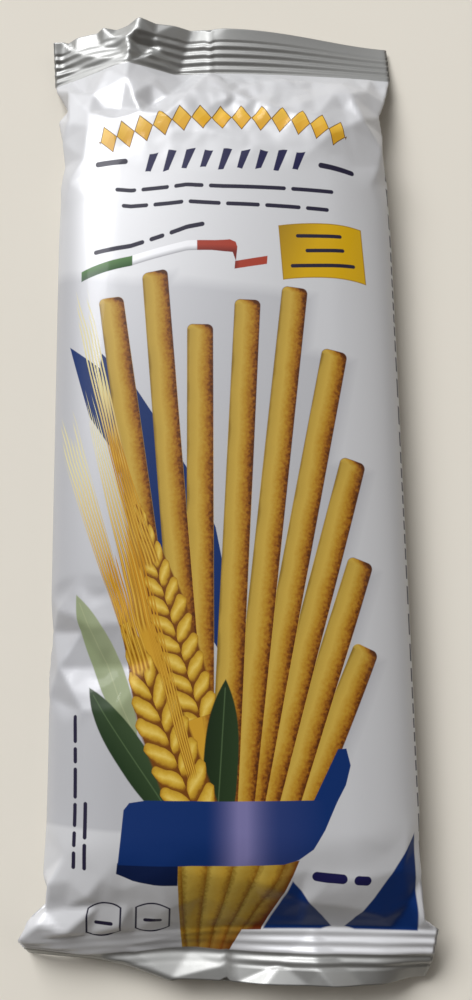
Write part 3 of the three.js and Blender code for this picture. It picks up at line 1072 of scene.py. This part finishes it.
def paint_panel(p):
    """A yellow note with a bowed top and bottom, and three lines on it."""
    bow = (p.X - 26).squared() * 0.006 + p.Y
    left_and_right = (p.line(1, 0.06, -0.06 * 179) - 25.8).abs() - 10.9
    note = ((bow - 179.6).abs() - 7.2).max(left_and_right)
    lit = p.line(0.05, -0.02, 0.02 * 186 - 0.05 * 14)
    p.paint((note - 0.25).inside(), PANEL_SHADE)
    p.paint(note.inside(), mixed(p.tree, lit.ranged(0, 0.6), PANEL_SHADE, PANEL))
    p.paint_bar((18.8, 183.4), (31, 183.6), 0.5)
    p.paint_bar((21.2, 179.4), (31.6, 179.8), 0.5)
    p.paint_bar((17.2, 175.2), (34.4, 175.8), 0.5)


def paint_bars(p, start, end, half_height, shares, gap=1.4, colour=INK):
    """A row of plain rounded bars where words would be, with lengths in these shares."""
    length = math.dist(start, end)
    unit = (length - gap * (len(shares) - 1)) / sum(shares)
    direction = ((end[0] - start[0]) / length, (end[1] - start[1]) / length)
    at = 0
    for share in shares:
        ends = [(start[0] + direction[0] * d, start[1] + direction[1] * d) for d in (at, at + share * unit)]
        p.paint_bar(*ends, half_height, colour)
        at += share * unit + gap


def paint_title(p):
    """A gold garland where a name would be, and a plain bar on either side of the marks below it."""
    centre_y, radius, pitch = 119, 98.8, 5.4
    above = p.Y - centre_y
    outward = (p.X.squared() + above.squared()).math("SQRT") - radius
    round_it = p.X.math("DIVIDE", above.max(1)) * radius
    across = ((round_it * (1 / pitch) + 0.5).math("FRACT") - 0.5) * pitch
    lozenge = (across.abs() * 1.45 + outward.abs() - 3.6).max(round_it.abs() - 6.5 * pitch)
    lozenge = lozenge.max(190 - p.Y)
    facet = (across * 0.9 - outward).ranged(-0.2, 0.2) * 0.3 + outward.ranged(3.2, -3.4) * 0.7
    p.paint((lozenge - 0.4).inside(), GOLD_SHADE)
    p.paint(lozenge.inside(), mixed(p.tree, facet, linear(222, 178, 64), GOLD))
    p.paint_bar((-34.6, 205.8), (-25.6, 206.6), 0.75)
    p.paint_bar((25.4, 203.4), (35.2, 202), 0.75)


def paint_brush_marks(p):
    """A row of slanting navy brush marks."""
    along, across, length = p.axes((-21.8, 205.6), (22.4, 204.2))
    marks, slant = 9, 0.32
    pitch = length / marks
    leaning = along + across * slant
    from_middle = ((leaning * (1 / pitch)).math("FRACT") - 0.5) * pitch
    within = (leaning - length / 2).abs() - length / 2
    height = across.abs() + (leaning * 0.8).math("SINE") * 0.35 - 2.7
    thickness = from_middle.abs() + across * 0.08 - 0.95
    p.paint(thickness.max(height).max(within).inside(), NAVY)


def paint_frames(p):
    """Two small frames at the lower left, each with a plain bar in it."""
    for x, y in ((-29.6, 16.8), (-18.2, 17)):
        across = (p.X - x).abs()
        arch = (p.Y - y).abs() + (across.squared() * 0.09) - 4.7
        outline = (across - 3.9).max(arch)
        p.paint((outline.abs() - 0.22).inside(), INK)
        p.paint_bar((x - 2.2, y - 0.6), (x + 2.2, y - 0.6), 0.5)


def paint_edge_marks(p):
    """A broken line of small marks down the right edge."""
    cell = (p.Y * (1 / 4.6) + (p.Y * 0.11).math("SINE") * 0.8).math("FRACT")
    mark = (cell - 0.5).abs().ranged(0.36, 0.33) * (p.Y - 120).abs().ranged(93, 92.5)
    p.paint(((p.X - 47.4).abs() - 0.5).inside(0.3) * mark, INK)


def paint_everything(p):
    """All of the print, from what lies lowest to what lies on top."""
    paint_title(p)
    paint_brush_marks(p)
    paint_bars(p, (-29, 198.6), (29.2, 195.9), 0.55, (2.6, 3.4, 3.6, 9.4, 5.2))
    paint_bars(p, (-27.2, 194.1), (27.8, 190.8), 0.55, (3, 3.4, 3.6, 3.8, 4, 2.6))
    paint_bars(p, (-34.8, 180.9), (-5.2, 186.9), 0.6, (6.2, 1.8, 4.2))
    paint_flag(p)
    paint_panel(p)
    paint_fan(p)
    p.paint(p.leaf((-6, 44), (-24.6, 112), 5.4)[0].inside(1.2), linear(186, 140, 38))
    paint_awns(p, (-21.6, 104), (-38.2, 167), 1.6, 2.6, 6)
    paint_awns(p, (-27, 122), (-33, 150), 0.8, 1.4, 3)
    paint_awns(p, (-19.5, 84), (-35.4, 140.5), 3.4, 1.4, 6)
    paint_ear(p, (-7.4, 64), (-22.8, 115), 5, 4.7)
    paint_awns(p, (-19.6, 99), (-29.6, 133), 2.9, 1.7, 7, STRAW_GOLD)
    paint_leaf(p, (-22.6, 59), (-38.4, 92.4), 3.6, LEAF_PALE, linear(140, 148, 116), LEAF_PALE_RIB)
    paint_leaf(p, (-12.4, 39.5), (-34.8, 70.4), 3.9, LEAF, linear(50, 68, 40), LEAF_RIB)
    paint_leaf(p, (-4.2, 33), (-1.2, 72.6), 4.1, linear(20, 36, 14), linear(36, 54, 28), LEAF_RIB)
    paint_awns(p, (-24, 82), (-42.4, 134.5), 1.6, 3.4, 7)
    paint_ear(p, (-8.2, 41.5), (-25.8, 86), 6.3, 5.5)
    paint_awns(p, (-9.2, 50), (-24.6, 108), 1.2, 2.2, 5, STRAW_GOLD)
    paint_awns(p, (-21.4, 74), (-29.4, 102), 2.6, 1.8, 5, STRAW_GOLD)
    paint_foot(p)
    paint_band(p)
    paint_swoosh(p)
    paint_frames(p)
    paint_bars(p, (-37.4, 29.4), (-38.2, 64), 0.5, (3.4, 3, 4.6, 6, 3.2, 5.6), 0.9)
    paint_bars(p, (-34.6, 29.4), (-35, 44.5), 0.5, (3.6, 5), 0.9)
    paint_bars(p, (18.6, 28.4), (32.4, 26.6), 1.1, (4, 2), 1.6, NAVY)
    paint_edge_marks(p)


def foil_material():
    """The film's bare silver side."""
    material, tree, shader = new_material("bare_foil")
    place = tree.nodes.new("ShaderNodeTexCoord")
    haze = noise(tree, Field(tree, place.outputs["Object"]), 300)
    connect(tree, haze * 0.1 + 0.4, shader.inputs["Roughness"])
    shader.inputs["Base Color"].default_value = SILVER
    shader.inputs["Metallic"].default_value = 0.82
    return material


def film_material():
    """Pearly white film, printed in front, and bare silver at the seals."""
    material, tree, shader = new_material("printed_film")
    p = Print(tree)
    paint_everything(p)
    bare = (PRINT_START - p.Y).max(p.Y - PRINT_END).ranged(-0.2, 0.2)
    p.paint(bare, SILVER)
    channels = tree.nodes.new("ShaderNodeSeparateColor")
    connect(tree, p.colour, channels.inputs[0])
    pearl = Field(tree, channels.outputs["Blue"]).ranged(0.28, 0.46) * 0.2
    connect(tree, p.colour, shader.inputs["Base Color"])
    connect(tree, pearl.max(bare * 0.82), shader.inputs["Metallic"])
    connect(tree, p.noise(0.9, 3) * 0.08 + 0.4 + bare * 0.08, shader.inputs["Roughness"])
    shader.inputs["Specular IOR Level"].default_value = 0.2
    shader.inputs["Coat Weight"].default_value = 0.13
    shader.inputs["Coat Roughness"].default_value = 0.06
    return material


make_camera()
make_studio()
make_floor()
film, tube = simulated_film()
grid, along = whole_grid(film, crumpled(film, tube))
piece = film_piece(film, grid, along, film_material())
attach(piece, "root")
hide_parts("pack")
fin = fin_seal_piece(film, grid, foil_material())
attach(fin, "root")

bpy.context.view_layer.update()
